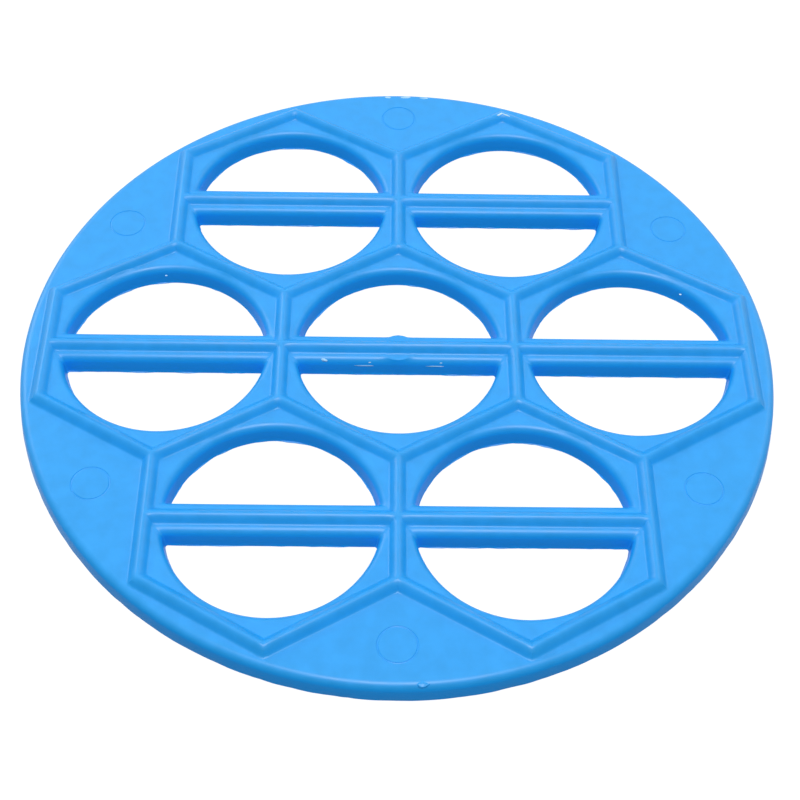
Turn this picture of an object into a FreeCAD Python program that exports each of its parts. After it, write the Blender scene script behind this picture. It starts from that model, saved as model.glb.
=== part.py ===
import FreeCAD, Part
import math
import os

from FreeCAD import Matrix, Vector

# Empanada press: a round moulded plate with seven round holes in a honeycomb, a bar
# across each hole, and raised sealing ridges along the honeycomb lines and the bars.
# The plate rests on z = 0, and the ridges stand on its top. Lengths are in millimetres.

# Driving dimensions of the plate
window_diameter = 62.4
plate_thickness = 6.0
wall_draft_degrees = 15.0
edge_rounding = 1.8

# Driving dimensions of the sealing ridges
ridge_width = 4.42
ridge_height = 2.4
ridge_crest_radius = 0.9
ridge_root_radius = 0.5

# Flat strips of the top that are left beside the ridges
web_shoulder = 0.0
crossbar_shoulder = 0.8
rim_shoulder = 0.75

# The stub of each crossbar that stays with its hexagonal frame, inside the hole
crossbar_stub = 1.6

# Marks that the mould leaves: the gate, and the line round each ejector pin
gate_boss_diameter = 10.4
ejector_mark_diameter = 11.6
ejector_mark_line = 0.5
ejector_mark_depth = 0.15
ejector_mark_setback = 13.8

# Shares that keep the small radii inside the walls that carry them
rounding_share = 0.4
crest_share = 0.21
root_share = 0.2

# Widths that follow from the driving dimensions
cut_overrun = plate_thickness
draft = math.radians(wall_draft_degrees)
wall_lean = plate_thickness * math.tan(draft)
rounding = min(edge_rounding, plate_thickness * rounding_share)
edge_inset = wall_lean + rounding * math.tan((math.pi / 2 - draft) / 2)
ridge_half = ridge_width / 2
ridge_reach = ridge_half / math.cos(math.pi / 6)
crest_radius = min(ridge_crest_radius, ridge_width * crest_share)
root_radius = min(ridge_root_radius, ridge_width * root_share)

# The honeycomb
web_width = ridge_width + 2 * (web_shoulder + edge_inset)
crossbar_width = ridge_width + 2 * (crossbar_shoulder + edge_inset)
window_radius = window_diameter / 2
cell_pitch = window_diameter + web_width
hexagon_side = cell_pitch / math.sqrt(3)
crossbar_half = crossbar_width / 2
crossbar_length = 2 * (math.sqrt(window_radius**2 - crossbar_half**2) - crossbar_stub)
outermost_corner = math.hypot(cell_pitch * 3 / 2, hexagon_side / 2)
overall_radius = outermost_corner + ridge_reach + rim_shoulder + edge_inset
ejector_mark_radius = overall_radius - ejector_mark_setback
boss_radius = gate_boss_diameter / 2

OUTER_NAMES = ["right", "rear_right", "rear_left", "left", "front_left", "front_right"]
RIM_NAMES = ["rear_right", "rear", "rear_left", "front_left", "front", "front_right"]


def polar(distance, degrees):
    """A point of the base plane at this distance and direction from the centre."""
    angle = math.radians(degrees)
    return Vector(distance * math.cos(angle), distance * math.sin(angle), 0)


def cell_centres():
    """The centre of each cell, by its name."""
    centres = {"centre": Vector(0, 0, 0)}
    for number, name in enumerate(OUTER_NAMES):
        centres[name] = polar(cell_pitch, 60 * number)
    return centres


def prism(corners, height):
    """A straight block on the base plane over these corners."""
    return Part.Face(Part.makePolygon(corners + [corners[0]])).extrude(Vector(0, 0, height))


def rounded_edge(face_at_base, side):
    """Line and arc up a drafted wall from its foot, and the last point, on the top face.

    Plastic lies on the negative side of a wall whose side is 1, and the points are (x, z)
    in an upright plane with y = 0.
    """
    inset = edge_inset * side
    centre = Vector(face_at_base - inset, 0, plate_thickness - rounding)
    normal = Vector(math.cos(draft) * side, 0, math.sin(draft))
    middle_angle = (math.pi / 2 + draft) / 2
    middle = Vector(math.cos(middle_angle) * side, 0, math.sin(middle_angle))
    foot = Vector(face_at_base, 0, 0)
    start = centre + normal * rounding
    end = Vector(centre.x, 0, plate_thickness)
    return [Part.makeLine(foot, start), Part.Arc(start, centre + middle * rounding, end).toShape()]


def close_wire(edges, points):
    """Closes a chain of edges with straight lines through these points."""
    start = edges[0].Vertexes[0].Point
    chain = list(edges)
    here = edges[-1].Vertexes[-1].Point
    for point in points + [start]:
        chain.append(Part.makeLine(here, point))
        here = point
    return Part.Wire(chain)


def turned_solid(wall_radius, side):
    """The round solid inside a wall of this radius: plastic for side 1, empty space for -1."""
    edges = rounded_edge(wall_radius, side)
    top = edges[-1].Vertexes[-1].Point.z
    low = Vector(0, 0, 0)
    points = [Vector(0, 0, top), low]
    if side < 0:
        lip = edges[-1].Vertexes[-1].Point
        points = [Vector(lip.x, 0, top + cut_overrun), Vector(0, 0, top + cut_overrun), low]
    wire = close_wire(edges, points)
    return Part.Face(wire).revolve(Vector(0, 0, 0), Vector(0, 0, 1), 360)


def crossbar_solid(start_x, end_x):
    """A stretch of a crossbar along X, with drafted sides and rounded upper edges."""
    right = rounded_edge(crossbar_half, 1)
    mirror = Matrix()
    mirror.A11 = -1
    left = [edge.transformGeometry(mirror) for edge in right]
    top = Part.makeLine(right[-1].Vertexes[-1].Point, left[-1].Vertexes[-1].Point)
    base = Part.makeLine(left[0].Vertexes[0].Point, right[0].Vertexes[0].Point)
    wire = Part.Wire(Part.__sortEdges__(right + [top] + left + [base]))
    bar = Part.Face(wire).extrude(Vector(0, end_x - start_x, 0))
    bar.rotate(Vector(0, 0, 0), Vector(0, 0, 1), -90)
    bar.translate(Vector(start_x, 0, 0))
    return bar


def gate_boss():
    """The round boss where the plastic was let into the mould, as deep as the plate."""
    boss = Part.makeCylinder(boss_radius, plate_thickness)
    rim = [edge for edge in boss.Edges if edge.BoundBox.ZMin > plate_thickness / 2]
    return boss.makeFillet(min(rounding, boss_radius * rounding_share), rim)


def crossbar(name):
    """The bar across one hole."""
    bar = crossbar_solid(-crossbar_length / 2, crossbar_length / 2)
    if name == "centre":
        bar = bar.fuse(gate_boss()).removeSplitter()
    return bar


def cell_frame():
    """The hexagonal frame round one hole, with the stubs of its crossbar."""
    corners = [polar(hexagon_side, 30 + 60 * number) for number in range(6)]
    frame = prism(corners, plate_thickness).cut(turned_solid(window_radius, -1))
    right_stub = crossbar_solid(crossbar_length / 2, cell_pitch / 2)
    left_stub = crossbar_solid(-cell_pitch / 2, -crossbar_length / 2)
    return frame.fuse([right_stub, left_stub]).removeSplitter()


def rim_land(number):
    """One sixth of the rim, with the shallow ring that an ejector pin leaves."""
    middle = 30 + 60 * number
    disc = turned_solid(overall_radius, 1)
    far = overall_radius * 2
    sector = prism([Vector(0, 0, 0), polar(far, middle - 30), polar(far, middle + 30)], plate_thickness)
    land = disc.common(sector)
    for centre in cell_centres().values():
        corners = [centre + polar(hexagon_side, 30 + 60 * corner) for corner in range(6)]
        land = land.cut(prism(corners, plate_thickness))
    mark_radius = ejector_mark_diameter / 2
    mark = Part.makeCylinder(mark_radius, cut_overrun)
    mark = mark.cut(Part.makeCylinder(mark_radius - ejector_mark_line, cut_overrun))
    mark.translate(polar(ejector_mark_radius, middle) + Vector(0, 0, plate_thickness - ejector_mark_depth))
    return land.cut(mark)


def ridge_section():
    """Section of a ridge across its run: flared roots, sloped sides and a rounded crest."""
    crest = Vector(0, 0, ridge_height - crest_radius)
    root = Vector(ridge_half, 0, root_radius)
    span = root - crest
    slope = math.asin((crest_radius + root_radius) / span.Length) - math.atan2(span.z, span.x)
    normal = Vector(math.sin(slope), 0, math.cos(slope))
    bisector = Vector(math.sin(slope / 2), 0, math.cos(slope / 2))
    foot = Vector(ridge_half, 0, 0)
    root_arc = Part.Arc(foot, root - bisector * root_radius, root - normal * root_radius).toShape()
    side = Part.makeLine(root - normal * root_radius, crest + normal * crest_radius)
    mirrored_normal = Vector(-normal.x, 0, normal.z)
    top = Vector(0, 0, ridge_height)
    crest_arc = Part.Arc(crest + normal * crest_radius, top, crest + mirrored_normal * crest_radius)
    mirror = Matrix()
    mirror.A11 = -1
    left = [edge.transformGeometry(mirror) for edge in (side, root_arc)]
    base = Part.makeLine(Vector(-ridge_half, 0, 0), foot)
    edges = [root_arc, side, crest_arc.toShape()] + left + [base]
    return Part.Face(Part.Wire(Part.__sortEdges__(edges)))


def ridge_bar(length):
    """A straight ridge on the plate's top, along X from the origin."""
    bar = ridge_section().extrude(Vector(0, length, 0))
    bar.rotate(Vector(0, 0, 0), Vector(0, 0, 1), -90)
    bar.translate(Vector(0, 0, plate_thickness))
    return bar


def ridge_segment(start, end, open_side, open_start, open_end):
    """The ridge along one side of a hexagon, mitred at both ends.

    Two neighbours meet it at each end, at 120 degrees. At an open end one of them is missing
    on the open side (1 is to the left of the run), so the mitre there leans outwards.
    """
    run = end - start
    lean = ridge_half / math.tan(math.pi / 3)
    plan = []
    for side in (-1, 1):
        first = -lean if open_start and side == open_side else lean
        last = -lean if open_end and side == open_side else lean
        ends = [Vector(first, side * ridge_half, 0), Vector(run.Length - last, side * ridge_half, 0)]
        plan += ends if side < 0 else ends[::-1]
    corners = [Vector(0, 0, 0)] + plan[:2] + [Vector(run.Length, 0, 0)] + plan[2:]
    bar = ridge_bar(run.Length + 2 * ridge_width)
    bar.translate(Vector(-ridge_width, 0, 0))
    segment = bar.common(prism(corners, plate_thickness + ridge_height * 2)).Solids[0]
    segment.rotate(Vector(0, 0, 0), Vector(0, 0, 1), math.degrees(math.atan2(run.y, run.x)))
    segment.translate(start)
    return segment


def hexagon_sides():
    """Every side of the honeycomb once: the cells beside it and its two corners."""
    sides = []
    for name, centre in cell_centres().items():
        for number in range(6):
            start = centre + polar(hexagon_side, 60 * number - 30)
            end = centre + polar(hexagon_side, 60 * number + 30)
            known = [side for side in sides if near(side["start"], end) and near(side["end"], start)]
            if known:
                known[0]["cells"].append(name)
            else:
                sides.append({"cells": [name], "start": start, "end": end})
    return sides


def near(first, second):
    """Whether two corners of the honeycomb are the same one."""
    return (first - second).Length < hexagon_side / 2


def ridge_groups():
    """The honeycomb's ridges: round the centre cell, between the outer cells, and outside."""
    groups = {"ridge_centre_hexagon": [], "ridge_spokes": [], "ridge_outline": []}
    sides = hexagon_sides()
    for side in sides:
        if "centre" in side["cells"]:
            name = "ridge_centre_hexagon"
        elif len(side["cells"]) == 2:
            name = "ridge_spokes"
        else:
            name = "ridge_outline"
        meeting = []
        for corner in (side["start"], side["end"]):
            meeting.append(sum(near(corner, s["start"]) or near(corner, s["end"]) for s in sides))
        segment = ridge_segment(side["start"], side["end"], -1, meeting[0] == 2, meeting[1] == 2)
        groups[name].append(segment)
    return groups


def crossbar_ridge(centre, neighbours):
    """The ridge on one crossbar, from one upright side of its hexagon to the other."""
    ridge = ridge_bar(cell_pitch)
    ridge.translate(centre - Vector(cell_pitch / 2, 0, 0))
    return ridge.cut(neighbours)


def joined(shapes):
    """Touching shapes as one solid, with no seams."""
    return shapes[0].fuse(shapes[1:]).removeSplitter()


def build():
    """Every sub-part of the press, by its name."""
    nodes = {}
    groups = ridge_groups()
    honeycomb = [segment for group in groups.values() for segment in group]
    frame = cell_frame()
    for name, centre in cell_centres().items():
        nodes["cell_" + name] = frame.copy()
        nodes["crossbar_" + name] = crossbar(name)
        for node in ("cell_" + name, "crossbar_" + name):
            nodes[node].translate(centre)
        reach = cell_pitch / 2 + ridge_width
        beside = [s for s in honeycomb if abs(s.CenterOfMass.y - centre.y) < ridge_width]
        beside = [s for s in beside if abs(s.CenterOfMass.x - centre.x) < reach]
        nodes["crossbar_ridge_" + name] = crossbar_ridge(centre, beside)
    for number, name in enumerate(RIM_NAMES):
        nodes["rim_" + name] = rim_land(number)
    nodes["ridge_centre_hexagon"] = joined(groups["ridge_centre_hexagon"])
    nodes["ridge_spokes"] = Part.makeCompound(groups["ridge_spokes"])
    nodes["ridge_outline"] = joined(groups["ridge_outline"])
    return nodes


os.makedirs("parts", exist_ok=True)
volume = 0
for node_name, shape in build().items():
    shape.exportStep("parts/" + node_name + ".step")
    volume += shape.Volume
    print(node_name, len(shape.Solids), "solids, valid", shape.isValid(), round(shape.Volume, 1), "mm3")
print("cell pitch", round(cell_pitch, 2), "crossbar", round(crossbar_width, 2))
print("overall diameter", round(overall_radius * 2, 2), "volume", round(volume), "mm3")
print("ejector marks on radius", round(ejector_mark_radius, 2))
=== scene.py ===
# %% [markdown]
# An empanada press is one blue polypropylene moulding: a round plate with seven round holes in a
# honeycomb, a bar across each hole, and sealing ridges that stand on top. The construction model
# gives the true sizes, so it is loaded first, and everything here is placed by what it measures.

# %% Load the construction model
import math

import bmesh
import bpy
from mathutils import Matrix, Vector, noise


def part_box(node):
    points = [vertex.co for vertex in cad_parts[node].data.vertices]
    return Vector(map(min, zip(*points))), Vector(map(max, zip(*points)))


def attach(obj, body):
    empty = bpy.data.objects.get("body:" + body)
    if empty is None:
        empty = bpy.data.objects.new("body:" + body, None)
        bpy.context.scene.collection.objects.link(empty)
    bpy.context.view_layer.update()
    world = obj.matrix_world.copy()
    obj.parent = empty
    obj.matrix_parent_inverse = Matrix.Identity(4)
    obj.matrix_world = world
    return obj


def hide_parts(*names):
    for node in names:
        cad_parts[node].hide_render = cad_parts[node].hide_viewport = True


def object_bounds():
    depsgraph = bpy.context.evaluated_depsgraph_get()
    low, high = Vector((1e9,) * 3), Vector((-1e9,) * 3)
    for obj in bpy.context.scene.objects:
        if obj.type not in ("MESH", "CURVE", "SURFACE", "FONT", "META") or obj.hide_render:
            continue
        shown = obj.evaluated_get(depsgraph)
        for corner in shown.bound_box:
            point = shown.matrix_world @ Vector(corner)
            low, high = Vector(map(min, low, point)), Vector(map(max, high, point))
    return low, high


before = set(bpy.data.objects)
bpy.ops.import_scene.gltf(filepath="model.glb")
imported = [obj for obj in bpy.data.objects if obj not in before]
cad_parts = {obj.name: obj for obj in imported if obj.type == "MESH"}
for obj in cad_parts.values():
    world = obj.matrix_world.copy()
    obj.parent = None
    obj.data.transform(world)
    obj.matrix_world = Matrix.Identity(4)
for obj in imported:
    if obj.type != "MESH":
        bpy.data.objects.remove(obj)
cad_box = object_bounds()
MM = 0.001
print("plate with ridges, mm:", [round((high - low) / MM, 1) for low, high in zip(*cad_box)])

# %% [markdown]
# Colours are easiest to choose as sRGB hex values, as a colour picker gives them. Blender's
# shaders work in linear light, so one function turns a hex value to linear.

# %% Colour helper


def linear(hex_colour, alpha=1.0):
    """A hex colour such as "2E9DF0" as linear red, green, blue and alpha."""
    values = [int(hex_colour[i:i + 2], 16) / 255 for i in (0, 2, 4)]
    return [v / 12.92 if v <= 0.04045 else ((v + 0.055) / 1.055) ** 2.4 for v in values] + [alpha]


print("the plate's blue in linear light:", [round(part, 3) for part in linear("1897E4")])

# %% [markdown]
# A material is a small network of nodes. This helper adds one node, sets its sockets and links
# others into it, so that each material below reads as a list of steps.

# %% Node helper


def add_node(tree, kind, settings=None, values=None, links=None):
    """Adds a node of this kind, with attributes, unlinked socket values and incoming links."""
    node = tree.nodes.new(kind)
    for name, value in (settings or {}).items():
        setattr(node, name, value)
    for name, value in (values or {}).items():
        node.inputs[name].default_value = value
    for name, source in (links or {}).items():
        tree.links.new(source, node.inputs[name])
    return node


# %% [markdown]
# The photograph looks down on the plate from the front at about 53 degrees, with a little roll.
# The camera's direction, distance and lens come from fitting the plate's outline and holes to the
# picture, so the render lies over the photograph.

# %% Camera
CAMERA_ELEVATION = 53.14
CAMERA_AZIMUTH = -1.12
CAMERA_ROLL = 1.46
CAMERA_DISTANCE = 479 * MM
CAMERA_TARGET = Vector((0.68 * MM, -15.83 * MM, 0))
SENSOR_WIDTH = 36
# the focal length over the picture's width, both in pixels
FOCAL_SHARE = 1547.5 / 800
NEAREST_SEEN = 10 * MM


def camera_axes():
    """Right, up and backward directions of the camera."""
    el, az, roll = (math.radians(a) for a in (CAMERA_ELEVATION, CAMERA_AZIMUTH, CAMERA_ROLL))
    back = Vector((math.sin(az) * math.cos(el), -math.cos(az) * math.cos(el), math.sin(el)))
    right = Vector((math.cos(az), math.sin(az), 0))
    up = back.cross(right)
    rolled_right = right * math.cos(roll) + up * math.sin(roll)
    rolled_up = up * math.cos(roll) - right * math.sin(roll)
    return rolled_right, rolled_up, back


def add_camera():
    """The camera at the photograph's place."""
    right, up, back = camera_axes()
    data = bpy.data.cameras.new("camera")
    data.sensor_width = SENSOR_WIDTH
    data.lens = SENSOR_WIDTH * FOCAL_SHARE
    data.clip_start = NEAREST_SEEN
    camera = bpy.data.objects.new("camera", data)
    turn = Matrix((right, up, back)).transposed().to_4x4()
    camera.matrix_world = Matrix.Translation(CAMERA_TARGET + back * CAMERA_DISTANCE) @ turn
    bpy.context.scene.collection.objects.link(camera)
    bpy.context.scene.camera = camera
    return camera


camera = add_camera()
print("lens, mm:", round(camera.data.lens, 1))

# %% [markdown]
# The plate was lit by soft lamps above and behind it. A picture of a room round the scene could
# light it too, but lamps can be moved one by one until each highlight is right. The lamp nearly
# overhead, a little to the front, gives the bright line where each front edge turns over. The three
# lamps behind and at the sides give the flats their sheen and light the side edges, and leave the
# walls that face the viewer dark. A dim white world fills the shadows. Each lamp is placed by its
# direction and by the share of the plate's light that it gives.

# %% Lamps and world
# azimuth and elevation in degrees, distance and width in metres, share of the plate's light
LAMPS = {
    "front_softbox": (-90, 77, 1.6, 0.5, 0.52),
    "rear_softbox": (90, 52, 1.2, 1.0, 0.1),
    "left_softbox": (140, 30, 1.2, 0.6, 0.12),
    "right_softbox": (35, 35, 1.2, 0.7, 0.08),
}
WORLD_FILL = 0.35


def add_lamp(name, azimuth, elevation, distance, width, share):
    """A round softbox that faces the plate and gives it this share of a plain white light."""
    across, up = math.radians(azimuth), math.radians(elevation)
    place = Vector((math.cos(across) * math.cos(up), math.sin(across) * math.cos(up), math.sin(up)))
    data = bpy.data.lights.new(name, "AREA")
    data.shape = "DISK"
    data.size = width
    data.energy = share * math.pi ** 2 * distance ** 2 / math.sin(up)
    lamp = bpy.data.objects.new(name, data)
    lamp.location = place * distance
    lamp.rotation_euler = place.to_track_quat("Z", "Y").to_euler()
    bpy.context.scene.collection.objects.link(lamp)
    return lamp


def seen_directly(tree):
    """1 for camera, mirror and see-through rays, and 0 for the rays that light things."""
    path = add_node(tree, "ShaderNodeLightPath")
    some = add_node(tree, "ShaderNodeMath", {"operation": "MAXIMUM"},
                    links={0: path.outputs["Is Camera Ray"], 1: path.outputs["Is Glossy Ray"]})
    both = add_node(tree, "ShaderNodeMath", {"operation": "MAXIMUM"},
                    links={0: some.outputs[0], 1: path.outputs["Is Transmission Ray"]})
    return both.outputs[0]


def set_world():
    """White where it is seen, and a dimmer white where it only gives light."""
    world = bpy.data.worlds.new("white_room")
    world.use_nodes = True
    tree = world.node_tree
    tree.nodes.clear()
    white = linear("FFFFFF")
    fill = add_node(tree, "ShaderNodeBackground", values={"Color": white, "Strength": WORLD_FILL})
    shown = add_node(tree, "ShaderNodeBackground", values={"Color": white, "Strength": 1.0})
    links = {0: seen_directly(tree), 1: fill.outputs[0], 2: shown.outputs[0]}
    mixed = add_node(tree, "ShaderNodeMixShader", links=links)
    add_node(tree, "ShaderNodeOutputWorld", links={"Surface": mixed.outputs[0]})
    bpy.context.scene.world = world


for name, values in LAMPS.items():
    lamp = add_lamp(name, *values)
    print(name, "power, W:", round(lamp.data.energy, 1))
set_world()
bpy.context.scene.view_settings.view_transform = "Standard"

# %% [markdown]
# The floor is plain white paper. It reflects like paper for light that reaches the plate, and
# glows a little where it is seen, so that it stays white and still shows the plate's faint shadow.

# %% Floor
FLOOR_HALF = 3.0
FLOOR_DROP = 0.05 * MM
FLOOR_GLOW = 0.88
PAPER_GREY = "7A7A7A"


def add_floor():
    """A large white sheet under the plate."""
    material = bpy.data.materials.new("white_paper")
    material.use_nodes = True
    tree = material.node_tree
    tree.nodes.clear()
    paper = add_node(tree, "ShaderNodeBsdfDiffuse", values={"Color": linear(PAPER_GREY)})
    glow = add_node(tree, "ShaderNodeEmission",
                    values={"Color": linear("FFFFFF"), "Strength": FLOOR_GLOW})
    shown = add_node(tree, "ShaderNodeAddShader", links={0: paper.outputs[0], 1: glow.outputs[0]})
    links = {0: seen_directly(tree), 1: paper.outputs[0], 2: shown.outputs[0]}
    mixed = add_node(tree, "ShaderNodeMixShader", links=links)
    add_node(tree, "ShaderNodeOutputMaterial", links={"Surface": mixed.outputs[0]})
    mesh = bpy.data.meshes.new("floor")
    corners = [(x * FLOOR_HALF, y * FLOOR_HALF, -FLOOR_DROP)
               for x, y in ((-1, -1), (1, -1), (1, 1), (-1, 1))]
    mesh.from_pydata(corners, [], [(0, 1, 2, 3)])
    mesh.materials.append(material)
    floor = bpy.data.objects.new("floor", mesh)
    bpy.context.scene.collection.objects.link(floor)


add_floor()
print("floor, m:", 2 * FLOOR_HALF, "square")

# %% [markdown]
# Real plastic is never quite even, and a noise on the piece itself gives that at a scale in
# millimetres. The same helper that stretches a noise over a range of roughness also turns the way
# a face points into a range, so that walls and tops can differ.

# %% Noise and ranges


def noise_of(tree, size, detail):
    """Noise with this feature size on the piece itself."""
    place = add_node(tree, "ShaderNodeTexCoord")
    return add_node(tree, "ShaderNodeTexNoise", values={"Scale": 1 / size, "Detail": detail},
                    links={"Vector": place.outputs["Object"]}).outputs[0]


def spread(tree, source, low, high, start=0.3, end=0.7):
    """A value, by default a noise, stretched over a range."""
    values = {"From Min": start, "From Max": end, "To Min": low, "To Max": high}
    node = add_node(tree, "ShaderNodeMapRange", values=values, links={"Value": source})
    return node.outputs[0]


# %% [markdown]
# The plate is injection-moulded polypropylene, coloured through. Polypropylene has an index of
# refraction of 1.49 and no metal in it. The steel mould was stoned, not polished, so the surface
# is satin: it gives the lamp back as a soft bright band along every rounded edge. The top has a
# higher specular level than the walls and is a little paler. The walls are painted a deeper,
# brighter blue, chosen by the way each face points: painted light, a glow that makes the shaded
# walls read bluer. The stoned grain is finer than a tenth of a millimetre, and is drawn at 0.7 mm
# so that it shows.

# %% Material: blue polypropylene
POLYPROPYLENE_IOR = 1.49
TOP_SPECULAR = 0.5
WALL_SPECULAR = 0.1
# the upward part of a face's direction where it starts to count as top, and where it wholly is
WALL_FACING = 0.5
TOP_FACING = 0.88
MOTTLE_SIZE = 5 * MM
STONED_GRAIN = 0.7 * MM
GRAIN_DEPTH = 0.006 * MM


def satin_shader(tree, deep, dull, bright, rough_low, rough_high):
    """A satin plastic skin: a painted glow of deeper blue on the walls, and between two near
    colours on the top.
    """
    mottle = noise_of(tree, MOTTLE_SIZE, detail=3)
    # the top's colour: a random mottle between two near blues
    worn = add_node(tree, "ShaderNodeMix", {"data_type": "RGBA"},
                    {6: linear(dull), 7: linear(bright)}, {0: spread(tree, mottle, 0, 1)})
    grain = noise_of(tree, STONED_GRAIN, detail=2)
    bump = add_node(tree, "ShaderNodeBump", values={"Strength": 1, "Distance": GRAIN_DEPTH},
                    links={"Height": grain})
    place = add_node(tree, "ShaderNodeTexCoord")
    facing = add_node(tree, "ShaderNodeSeparateXYZ", links={0: place.outputs["Normal"]})
    upward = facing.outputs["Z"]
    shine = spread(tree, upward, WALL_SPECULAR, TOP_SPECULAR, WALL_FACING, TOP_FACING)
    # painted light: faces that point sideways get the deeper, brighter wall blue as a painted glow,
    # and faces that point up get the mottled top colours
    colour = add_node(tree, "ShaderNodeMix", {"data_type": "RGBA"}, {6: linear(deep)},
                      {0: spread(tree, upward, 0, 1), 7: worn.outputs[2]})
    rough = spread(tree, mottle, rough_low, rough_high)
    return add_node(tree, "ShaderNodeBsdfPrincipled", values={"IOR": POLYPROPYLENE_IOR},
                    links={"Base Color": colour.outputs[2], "Normal": bump.outputs[0],
                           "Specular IOR Level": shine, "Roughness": rough})


def satin_plastic(name, **finish):
    """A material with the satin skin."""
    material = bpy.data.materials.new(name)
    material.use_nodes = True
    tree = material.node_tree
    tree.nodes.clear()
    shader = satin_shader(tree, **finish)
    add_node(tree, "ShaderNodeOutputMaterial", links={"Surface": shader.outputs[0]})
    return material


# 1CA2FF is the painted glow of the walls; the other two blues are the plastic's mottled top
plastic = satin_plastic("blue_polypropylene", deep="1CA2FF", dull="1897E4", bright="209EEE",
                        rough_low=0.36, rough_high=0.43)
print(plastic.name, "nodes:", len(plastic.node_tree.nodes))

# %% [markdown]
# Every surface of the moulding is worked out from a few sizes. Those that the construction model's
# boxes hold are read from it, and the window's radius is repeated from its source. The others
# describe the soft shapes that a mould leaves: walls that lean so that the plate comes out, round
# edges, and ridges like rounded beads, whose sides grow steeper towards the foot and end in a
# small fillet.

# %% Sizes of the moulding
PLATE_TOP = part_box("cell_centre")[1][2]
RIDGE_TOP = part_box("ridge_outline")[1][2]
PLATE_RADIUS = cad_box[1][0]
CELL_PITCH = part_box("cell_centre")[1][0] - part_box("cell_centre")[0][0]
CROSSBAR_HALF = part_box("crossbar_right")[1][1]
HEXAGON_SIDE = CELL_PITCH / math.sqrt(3)
WINDOW_RADIUS = 31.2 * MM

WALL_LEAN = math.radians(8)
EDGE_ROUNDING = 2.6 * MM
RIDGE_HEIGHT = RIDGE_TOP - PLATE_TOP
BEAD_HALF = 2.65 * MM
BEAD_FULLNESS = 1.6
ROOT_BLEND = 0.6 * MM
RIDGE_HALF = BEAD_HALF * (1 + ROOT_BLEND / RIDGE_HEIGHT) ** (1 / BEAD_FULLNESS)
CORNER_RADIUS = 0.7 * MM
EDGE_TURN = math.pi / 2 - WALL_LEAN
EDGE_INSET = PLATE_TOP * math.tan(WALL_LEAN) + EDGE_ROUNDING * math.tan(EDGE_TURN / 2)
print("edge inset, mm:", round(EDGE_INSET / MM, 2), "cell pitch, mm:", round(CELL_PITCH / MM, 2))

# %% [markdown]
# The height of the top at any point is the plate's own height, which falls away over the rounded
# edges, plus the height of the ridges. Adding the two lets a ridge's root flow into a rounded
# edge where they meet, as plastic does, with no seam to hide.

# %% Height of the top


def edge_fall(inset):
    """How far the rounded edge lies under the plate's top, this far in from the edge's foot."""
    past = min(max(EDGE_INSET - inset, 0), EDGE_ROUNDING)
    return EDGE_ROUNDING - math.sqrt(EDGE_ROUNDING ** 2 - past ** 2)


def ridge_rise(distance):
    """Height of a ridge over the plate, at this distance from its crest line."""
    rise = RIDGE_HEIGHT * (1 - (distance / BEAD_HALF) ** BEAD_FULLNESS)
    gap = max(ROOT_BLEND - abs(rise), 0)
    return max(rise, 0) + gap ** 2 / (4 * ROOT_BLEND)


print("a ridge's root reaches, mm:", round(RIDGE_HALF / MM, 2))

# %% [markdown]
# A disc with holes cut out and its edges bevelled would be quicker to make, but on this plate the
# roots of the ridges run into the rounded edges, and a bevel breaks there. So each piece is drawn
# ring by ring. Half of a cell starts on the crest lines of the ridges, runs down a ridge, over the
# flat land, round the window's edge and down the window's wall. Each station round the half cell
# pairs a point of the crest lines with a point of the D-shaped window.

# %% Stations of half a cell
UPRIGHT_STEPS = 12
SLANTED_STEPS = 24
CROSSBAR_STEPS = 44
CORNER_STEPS = 2


def crest_corner(number, distance):
    """Corner of the half cell's crest outline, moved in by a distance, from the right end round."""
    if number in (0, 4):
        side = 1 if number == 0 else -1
        return Vector((side * (CELL_PITCH / 2 - distance), distance))
    angle = math.radians((30, 90, 150)[number - 1])
    reach = HEXAGON_SIDE - distance / math.cos(math.radians(30))
    return Vector((reach * math.cos(angle), reach * math.sin(angle)))


def station_list():
    """(crest side, share along it) for each station, round the half cell from its right end."""
    counts = (UPRIGHT_STEPS, SLANTED_STEPS, SLANTED_STEPS, UPRIGHT_STEPS, CROSSBAR_STEPS)
    return [(side, step / count) for side, count in enumerate(counts) for step in range(count)]


def crest_point(station, distance):
    """The station's point on the crest outline, moved in by a distance."""
    side, share = station
    return crest_corner(side, distance).lerp(crest_corner((side + 1) % 5, distance), share)


STATIONS = station_list()
print("stations round half a cell:", len(STATIONS))

# %% [markdown]
# A window is a D: an arc of the round hole, a straight side along the crossbar, and a small round
# corner at each end. The same outline, moved out from its foot, gives every ring of the wall and of
# the rounded edge. The plastic entered the mould at the middle bar and left a round boss there, so
# that bar's straight side bulges round it, with a soft blend where the two meet.

# %% Outline of a window
BOSS_DRAFT_SHARE = 0.1
BOSS_BLEND = 1.2 * MM


def boss_edge(x, edge, inset, boss_radius):
    """Moves a crossbar's edge out where the round gate boss is wider."""
    radius = boss_radius - BOSS_DRAFT_SHARE * inset
    bulge = math.sqrt(max(radius ** 2 - x ** 2, 0))
    gap = max(BOSS_BLEND - abs(edge - bulge), 0)
    return max(edge, bulge) + gap ** 2 / (4 * BOSS_BLEND)


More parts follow.
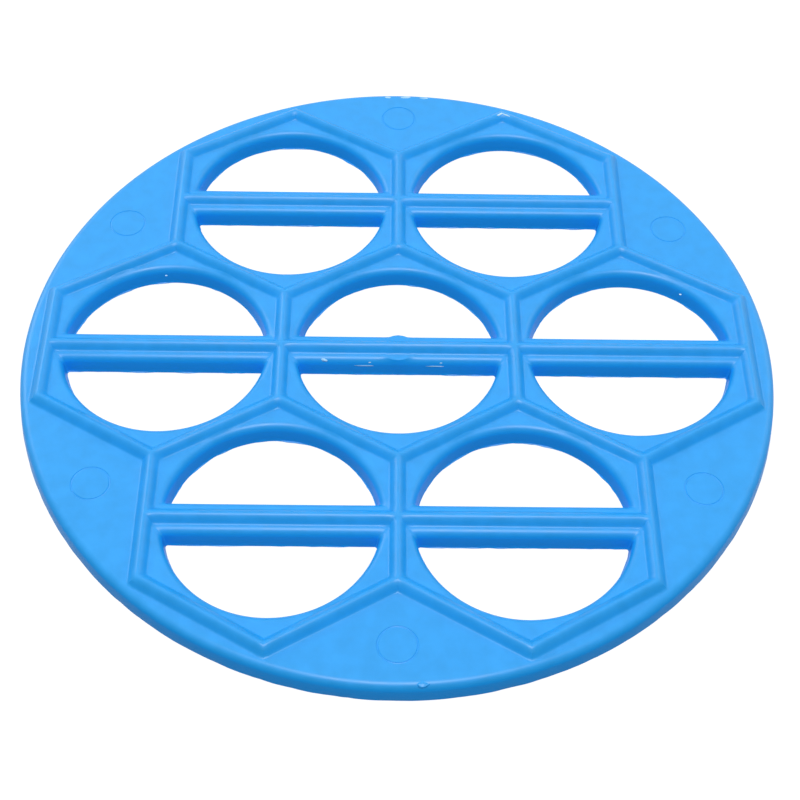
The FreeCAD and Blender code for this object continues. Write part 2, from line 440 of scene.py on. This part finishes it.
def window_point(station, inset, boss_radius=0):
    """The station's point on the window's outline, this far out from its foot."""
    side, share = station
    radius = WINDOW_RADIUS + inset
    edge = CROSSBAR_HALF - inset
    height = edge + CORNER_RADIUS
    across = math.sqrt((radius - CORNER_RADIUS) ** 2 - height ** 2)
    meet = math.atan2(height, across)
    mirror = -1 if side in (2, 3) or (side == 4 and share < 0.5) else 1
    if side in (1, 2):
        angle = math.radians(30 + 60 * (side - 1 + share))
        return Vector((radius * math.cos(angle), radius * math.sin(angle)))
    steps = CROSSBAR_STEPS if side == 4 else UPRIGHT_STEPS
    step = share * steps
    if side == 4:
        from_end = min(step, steps - step)
    else:
        from_end = step if side == 0 else steps - step
    if from_end < CORNER_STEPS:
        turn = from_end / CORNER_STEPS
        middle = (meet - math.pi / 2) / 2
        end = -math.pi / 2 if side == 4 else meet
        angle = middle + (end - middle) * turn
        x = across + CORNER_RADIUS * math.cos(angle)
        return Vector((mirror * x, height + CORNER_RADIUS * math.sin(angle)))
    if side == 4:
        along = (step - CORNER_STEPS) / (steps - 2 * CORNER_STEPS)
        x = across * (2 * along - 1)
        return Vector((x, boss_edge(x, edge, inset, boss_radius) if boss_radius else edge))
    turn = (from_end - CORNER_STEPS) / (steps - CORNER_STEPS)
    angle = meet + (math.radians(30) - meet) * turn
    return Vector((mirror * radius * math.cos(angle), radius * math.sin(angle)))


outline = [window_point(station, 0) for station in STATIONS]
print("window's width, mm:", round(2 * max(point[0] for point in outline) / MM, 1))

# %% [markdown]
# The rings of the section are listed once, from the crest to the foot of the wall, and every piece
# of the moulding uses them. They lie closer together where the shape bends most: on the crest and
# at the root of a ridge, and over the rounded edge.

# %% Rings of the section
RIDGE_SHARES = (0, 0.02, 0.08, 0.16, 0.24, 0.33, 0.42, 0.53, 0.65, 0.75, 0.84, 0.92, 1)
LAND_SHARES = (0.33, 0.67)
ROUNDING_STEPS = 8
WALL_SHARES = (0.6, 0.3)


def rounding_rings():
    """(inset, height) of the rings over the rounded edge and down the wall."""
    rings = []
    for step in range(ROUNDING_STEPS + 1):
        angle = EDGE_TURN * step / ROUNDING_STEPS
        fall = EDGE_ROUNDING * (1 - math.cos(angle))
        rings.append((EDGE_INSET - EDGE_ROUNDING * math.sin(angle), PLATE_TOP - fall))
    foot = rings[-1][1]
    return rings + [(foot * share * math.tan(WALL_LEAN), foot * share) for share in WALL_SHARES]


SECTION = rounding_rings()
print("rings from crest to wall:", len(RIDGE_SHARES) + len(LAND_SHARES) + len(SECTION))

# %% [markdown]
# Two faults make a moulding look real. The thin lip at the foot of a wall is flash: plastic that
# crept between the two halves of the mould. It comes and goes, which is what makes the edges of
# the real windows ragged. And the crests are worn a little, so that their bright line isn't even.
# Both follow a smooth noise of the place on the plate, so neighbouring pieces agree at their seams.

# %% Flash and wear
FLASH_HEIGHT = 0.3 * MM
FLASH_REACH = 0.45 * MM
FLASH_WAVE = 7 * MM
FLASH_FINER = 4
FLASH_LEVEL = 0.1
FLASH_FINE_SHARE = 0.35
FLASH_LIP_SHARE = 0.6
CREST_WAVE = 9 * MM
CREST_DIP = 0.12 * MM
# heights in the noise, one for each use of it, so that no two waves are alike
FINE_LAYER = 1 * MM
WEAR_LAYER = 2 * MM


def flash_at(point):
    """How far the flash sticks out at this place."""
    wave = noise.noise(Vector((point[0], point[1], 0)) / FLASH_WAVE)
    fine = noise.noise(Vector((point[0], point[1], FINE_LAYER)) / FLASH_WAVE * FLASH_FINER)
    return FLASH_REACH * max(FLASH_LEVEL + wave + FLASH_FINE_SHARE * fine, 0)


def crest_wear(point):
    """A crest isn't quite level: how much lower it is at this place."""
    wave = noise.noise(Vector((point[0], point[1], WEAR_LAYER)) / CREST_WAVE)
    return CREST_DIP * (1 + wave) / 2


lips = [flash_at(window_point(station, 0)) for station in STATIONS]
print("flash on the middle window, mm:", round(min(lips) / MM, 2), "to", round(max(lips) / MM, 2))

# %% [markdown]
# Where two ridges meet, the higher one counts, and the crease between them is softened, because
# the cutter that made the mould left a small radius there. A worn crest is lower in proportion to
# how high the ridge stands, so the flat land stays flat.

# %% Height of the top inside a cell
CREASE_BLEND = 0.5 * MM


def soft_highest(first, second):
    """The higher of two ridges' heights, with the crease between them softened."""
    gap = max(CREASE_BLEND - abs(first - second), 0)
    return min(max(first, second) + gap ** 2 / (4 * CREASE_BLEND), RIDGE_HEIGHT)


def cell_ridge_rise(point):
    """Height of the cell's ridges over the plate at a point of its rear half."""
    angle = math.radians(60)
    slanted = abs(point[0]) * math.cos(angle) + point[1] * math.sin(angle)
    sides = [CELL_PITCH / 2 - abs(point[0]), CELL_PITCH / 2 - slanted, point[1]]
    rises = [ridge_rise(max(distance, 0)) for distance in sides]
    return soft_highest(soft_highest(rises[0], rises[1]), rises[2])


def cell_top(point, place, inset):
    """Height of the top at a point of a cell's rear half, at this place on the plate."""
    rise = cell_ridge_rise(point)
    worn = crest_wear(place) * rise / RIDGE_HEIGHT
    return PLATE_TOP - edge_fall(inset) + rise - worn


corner = Vector((0, HEXAGON_SIDE))
print("top where three ridges meet, mm:", round(cell_top(corner, corner, EDGE_INSET) / MM, 2))

# %% [markdown]
# At each station the section is a closed loop of points: down the ridge, over the land, round the
# edge, down the wall, out to the flash, and back to a point under the crest. Where the land is
# narrow, the ridge's rings are drawn closer together, so that they never pass the window's lip.

# %% Section at a station
CELL_ROOM = 0.95


def half_cell_rings(station, centre, mirror, boss_radius):
    """All points of one station, from the crest to the underside and back under the crest."""
    def on_plate(point):
        return Vector((point[0] + centre[0], mirror * point[1] + centre[1]))

    start = crest_point(station, 0)
    lip = window_point(station, EDGE_INSET, boss_radius)
    room = min(1, CELL_ROOM * (lip - start).length / RIDGE_HALF)
    points = []
    for share in RIDGE_SHARES:
        point = crest_point(station, RIDGE_HALF * room * share)
        inset = max(point.length - WINDOW_RADIUS, CROSSBAR_HALF - point[1])
        points.append((point, cell_top(point, on_plate(point), inset)))
    foot = points[-1][0]
    for share in LAND_SHARES:
        point = foot.lerp(lip, share)
        points.append((point, cell_top(point, on_plate(point), EDGE_INSET)))
    for inset, height in SECTION:
        point = window_point(station, inset, boss_radius)
        lift = cell_ridge_rise(point) if height > PLATE_TOP / 2 else 0
        points.append((point, height + lift))
    flash = flash_at(on_plate(window_point(station, 0)))
    shallow = FLASH_HEIGHT * math.tan(WALL_LEAN)
    lip_height = FLASH_HEIGHT * FLASH_LIP_SHARE
    for reach, height in ((shallow, FLASH_HEIGHT), (-flash, lip_height), (-flash, 0)):
        points.append((window_point(station, reach, boss_radius), height))
    points.append((start, 0))
    return [(*on_plate(point), height) for point, height in points]


loop = half_cell_rings(STATIONS[0], Vector((0, 0)), 1, 0)
print("points in a section:", len(loop))

# %% [markdown]
# A cell is two halves, the front one a mirror image of the rear one, welded along the crest of
# its crossbar. The cut faces below the crest lines close the piece, and its neighbour hides them.

# %% Mesh of a cell
BOSS_RADIUS = 5.3 * MM


def cell_mesh(centre, boss_radius):
    """Vertices and faces of one cell."""
    points = []
    faces = []
    for mirror in (1, -1):
        first = len(points)
        columns = [half_cell_rings(station, centre, mirror, boss_radius) for station in STATIONS]
        depth = len(columns[0])
        points += [point for column in columns for point in column]
        for number, (side, _) in enumerate(STATIONS):
            here = first + number * depth
            there = first + (number + 1) % len(STATIONS) * depth
            last = depth if side != 4 else depth - 1
            for ring in range(last):
                below = (ring + 1) % depth
                face = (here + ring, here + below, there + below, there + ring)
                faces.append(face[::mirror])
    return points, faces


points, faces = cell_mesh(Vector((0, 0)), BOSS_RADIUS)
print("middle cell:", len(points), "points,", len(faces), "faces before welding")

# %% [markdown]
# Each piece is finished in the same way. Points that coincide are welded, so that the piece is one
# closed skin, and it is shaded smooth except where faces meet at a clear angle. A count of open
# edges shows whether the skin is closed: it has to be zero.

# %% Finishing a piece
WELD = 0.001 * MM
SHARP_FROM = math.radians(38)
print("faces meet sharply from, degrees:", round(math.degrees(SHARP_FROM)))


def finish_mesh(name, points, faces):
    """A welded, smoothly shaded piece of the moulding from its points and faces."""
    mesh = bpy.data.meshes.new(name)
    mesh.from_pydata(points, [], faces)
    work = bmesh.new()
    work.from_mesh(mesh)
    bmesh.ops.remove_doubles(work, verts=work.verts, dist=WELD)
    bmesh.ops.dissolve_degenerate(work, edges=work.edges, dist=WELD)
    bmesh.ops.recalc_face_normals(work, faces=work.faces)
    open_edges = sum(not edge.is_manifold for edge in work.edges)
    work.to_mesh(mesh)
    work.free()
    mesh.shade_smooth()
    mesh.set_sharp_from_angle(angle=SHARP_FROM)
    mesh.materials.append(plastic)
    piece = bpy.data.objects.new(name, mesh)
    bpy.context.scene.collection.objects.link(piece)
    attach(piece, "root")
    print(name, len(mesh.polygons), "faces, open edges", open_edges)
    return piece


# %% [markdown]
# The seven cells are the middle one and six round it, a cell pitch away. Each takes the place of
# its frame, bar and bar ridge in the construction model, and the cells together take the place of
# the ridges between them.

# %% The seven cells
OUTER_NAMES = ("right", "rear_right", "rear_left", "left", "front_left", "front_right")


def add_cell(name, centre):
    """One cell of the moulding, with its crossbar and its share of the ridges round it."""
    points, faces = cell_mesh(centre, BOSS_RADIUS if name == "centre" else 0)
    piece = finish_mesh("moulded_cell_" + name, points, faces)
    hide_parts("cell_" + name, "crossbar_" + name, "crossbar_ridge_" + name)
    if name == "centre":
        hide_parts("ridge_centre_hexagon")
    else:
        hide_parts("ridge_spokes", "ridge_outline")


def direction(degrees):
    """Unit vector of the plate's plane at this angle from +X."""
    return Vector((math.cos(math.radians(degrees)), math.sin(math.radians(degrees))))


add_cell("centre", Vector((0, 0)))
for number, name in enumerate(OUTER_NAMES):
    add_cell(name, direction(60 * number) * CELL_PITCH)

# %% [markdown]
# The rim fills the space between the honeycomb and the circle. Each sixth runs from the middle of
# one outer hexagon side to the next, over the notch between two cells, and uses the same rings.

# %% Mesh of a sixth of the rim
RIM_LAND_SHARES = (0.2, 0.4, 0.6, 0.8)
RIM_ROOM = 0.9
RIM_FLASH_SHARE = 0.5


def rim_corners(number, distance):
    """Crest line of one sixth of the rim, moved out by a distance."""
    out = direction(60 * number + 30)
    first, last = direction(60 * number), direction(60 * number + 60)
    step = out * distance / math.cos(math.radians(30))
    return [
        first * (CELL_PITCH * 3 / 2 + distance),
        first * CELL_PITCH + out * HEXAGON_SIDE + step,
        out * HEXAGON_SIDE * 2 + step,
        last * CELL_PITCH + out * HEXAGON_SIDE + step,
        last * (CELL_PITCH * 3 / 2 + distance),
    ]


def rim_point(corners, side, share):
    """A point along the crest line of a sixth of the rim."""
    return corners[side].lerp(corners[side + 1], share)


def rim_mesh(number):
    """Vertices and faces of one sixth of the rim."""
    counts = (UPRIGHT_STEPS, SLANTED_STEPS, SLANTED_STEPS, UPRIGHT_STEPS)
    stations = [(side, step / count) for side, count in enumerate(counts) for step in range(count)]
    stations.append((len(counts) - 1, 1))
    columns = []
    corners = rim_corners(number, 0)
    for side, share in stations:
        points = []
        start = rim_point(corners, side, share)
        to_lip = PLATE_RADIUS - EDGE_INSET - start.length
        room = min(1, RIM_ROOM * to_lip / RIDGE_HALF)
        for ring in RIDGE_SHARES:
            distance = RIDGE_HALF * room * ring
            point = rim_point(rim_corners(number, distance), side, share)
            rise = ridge_rise(distance)
            worn = crest_wear(point) * rise / RIDGE_HEIGHT
            points.append((point, PLATE_TOP + rise - worn))
        foot = points[-1][0]
        out = foot.normalized()
        lip = out * (PLATE_RADIUS - EDGE_INSET)
        points += [(foot.lerp(lip, ring), PLATE_TOP) for ring in RIM_LAND_SHARES]
        points += [(out * (PLATE_RADIUS - inset), height) for inset, height in SECTION]
        edge = PLATE_RADIUS - flash_at(out * PLATE_RADIUS) * RIM_FLASH_SHARE
        points.append((out * (edge - FLASH_HEIGHT * math.tan(WALL_LEAN)), FLASH_HEIGHT))
        points.append((out * edge, 0))
        points.append((start, 0))
        columns.append([(point[0], point[1], height) for point, height in points])
    depth = len(columns[0])
    faces = []
    for column in range(len(columns) - 1):
        here, there = column * depth, (column + 1) * depth
        for ring in range(depth):
            below = (ring + 1) % depth
            faces.append((here + ring, there + ring, there + below, here + below))
    last = (len(columns) - 1) * depth
    faces.append(tuple(range(depth)))
    faces.append(tuple(range(last + depth - 1, last - 1, -1)))
    return [point for column in columns for point in column], faces


points, faces = rim_mesh(0)
print("a sixth of the rim:", len(points), "points,", len(faces), "faces before welding")

# %% [markdown]
# Steel pins push the moulding out of its mould, and each leaves a thin round line on the rim. A
# bump could draw it, but a ring cut out with a Boolean is a real groove, so it is in the mesh
# itself and catches the light from every side.

# %% Ejector pin's ring
EJECTOR_RADIUS = 5.6 * MM
EJECTOR_SETBACK = 13.8 * MM
EJECTOR_LINE = 0.6 * MM
EJECTOR_DEPTH = 0.18 * MM
RING_STEPS = 96
RING_SIDES = 8


def groove_ring(centre, radius):
    """A thin ring whose lower half stands in the plate's top, to cut a groove with."""
    mesh = bpy.data.meshes.new("groove")
    turns = [2 * math.pi * step / RING_SIDES for step in range(RING_SIDES)]
    section = [(EJECTOR_LINE / 2 * math.cos(turn), EJECTOR_DEPTH * math.sin(turn))
               for turn in turns]
    points = []
    faces = []
    for step in range(RING_STEPS):
        out = direction(360 * step / RING_STEPS)
        points += [(*(centre + out * (radius + across)), PLATE_TOP + up) for across, up in section]
        here, there = step * RING_SIDES, (step + 1) % RING_STEPS * RING_SIDES
        for side in range(RING_SIDES):
            after = (side + 1) % RING_SIDES
            faces.append((here + side, there + side, there + after, here + after))
    mesh.from_pydata(points, [], faces)
    return bpy.data.objects.new("groove", mesh)


def cut_groove(piece, ring):
    """Cuts the ring out of the piece and leaves a plain mesh."""
    bpy.context.scene.collection.objects.link(ring)
    cut = piece.modifiers.new("groove", "BOOLEAN")
    cut.operation = "DIFFERENCE"
    cut.object = ring
    shape = piece.evaluated_get(bpy.context.evaluated_depsgraph_get())
    grooved = bpy.data.meshes.new_from_object(shape)
    piece.modifiers.clear()
    piece.data = grooved
    bpy.data.objects.remove(ring)


print("groove, mm:", round(EJECTOR_LINE / MM, 2), "wide and", round(EJECTOR_DEPTH / MM, 2), "deep")

# %% [markdown]
# The six sixths of the rim are named for where they lie. Each takes the place of its rim piece in
# the construction model, and shares the outline ridge with the cells inside it.

# %% The six sixths of the rim
RIM_NAMES = ("rear_right", "rear", "rear_left", "front_left", "front", "front_right")


def add_rim(number, name):
    """One sixth of the rim, with its share of the outline ridge and an ejector pin's ring."""
    points, faces = rim_mesh(number)
    piece = finish_mesh("moulded_rim_" + name, points, faces)
    centre = direction(60 * number + 30) * (PLATE_RADIUS - EJECTOR_SETBACK)
    cut_groove(piece, groove_ring(centre, EJECTOR_RADIUS))
    print(piece.name, "with its groove:", len(piece.data.polygons), "faces")
    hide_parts("rim_" + name, "ridge_outline")


for number, name in enumerate(RIM_NAMES):
    add_rim(number, name)

# %% [markdown]
# The press in the photograph has a few blemishes from its mould and from use: whitened nicks on
# the rear edge, a worn corner of a ridge, a chip and two scrapes on the middle bar, and a lump of
# plastic on the front edge. Where polypropylene is torn or bruised it turns pale, since tiny
# cracks in it scatter the light. Each blemish is a small lump set into the surface: it stays sharp
# from near by, and needs no painted picture.

# %% Blemishes
# middle and half sizes in millimetres, and turn in degrees
NICKS = {
    "rear_nick_1": ((-3.8, 114.6, 5.88), (1.1, 0.5, 0.25), 0),
    "rear_nick_2": ((2.3, 114.7, 5.85), (2.0, 0.7, 0.3), 4),
    "rear_nick_3": ((8.9, 114.4, 5.85), (1.6, 0.55, 0.3), -5),
    "ridge_corner_wear_left": ((35.8, 104.4, 8.12), (1.5, 0.45, 0.25), 35),
    "ridge_corner_wear_right": ((37.8, 103.9, 8.1), (1.8, 0.35, 0.25), -30),
    "bar_chip": ((-23.2, -4.4, 5.4), (1.3, 0.6, 0.45), -25),
    "bar_scrape_left": ((-11.0, -5.4, 3.8), (3.4, 0.2, 0.25), -1),
    "bar_scrape_left_top": ((-8.7, -5.0, 4.95), (0.6, 0.2, 0.2), 20),
    "bar_scrape_right": ((11.2, -5.4, 3.8), (3.2, 0.2, 0.25), -1),
    "bar_scrape_right_top": ((13.4, -5.0, 4.95), (0.5, 0.25, 0.2), 10),
    "front_right_speck": ((90.9, 23.3, 5.98), (0.4, 0.3, 0.1), 0),
    "left_speck": ((-75.0, 29.0, 6.0), (0.4, 0.3, 0.1), 0),
}
LUMPS = {"front_edge_lump": ((6.8, -115.0, 5.6), (1.8, 1.1, 0.4), 0)}
LUMP_ROUGHNESS = 0.3
LUMP_GRAIN = 1.7
# 9AD0F4 is the painted glow on the walls of the lumps; the other two are the whitened plastic's own
# tones
bruised = satin_plastic("stress_whitened_polypropylene", deep="9AD0F4", dull="74BEEE",
                        bright="C4E6F8", rough_low=0.5, rough_high=0.6)


def add_lump(name, place, size, turn, material):
    """A small rough lump, half sunk in the surface."""
    work = bmesh.new()
    bmesh.ops.create_icosphere(work, subdivisions=3, radius=1)
    for vert in work.verts:
        rough = 1 + LUMP_ROUGHNESS * noise.noise(vert.co * LUMP_GRAIN + Vector(place))
        vert.co = Vector([length * part * MM for length, part in zip(size, vert.co * rough)])
    turned = Matrix.Rotation(math.radians(turn), 4, "Z")
    work.transform(Matrix.Translation(Vector(place) * MM) @ turned)
    mesh = bpy.data.meshes.new(name)
    work.to_mesh(mesh)
    work.free()
    mesh.shade_smooth()
    mesh.materials.append(material)
    lump = bpy.data.objects.new(name, mesh)
    bpy.context.scene.collection.objects.link(lump)
    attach(lump, "root")
    return lump


for name, shape in NICKS.items():
    add_lump(name, *shape, bruised)
for name, shape in LUMPS.items():
    add_lump(name, *shape, plastic)
print("blemishes:", len(NICKS) + len(LUMPS))
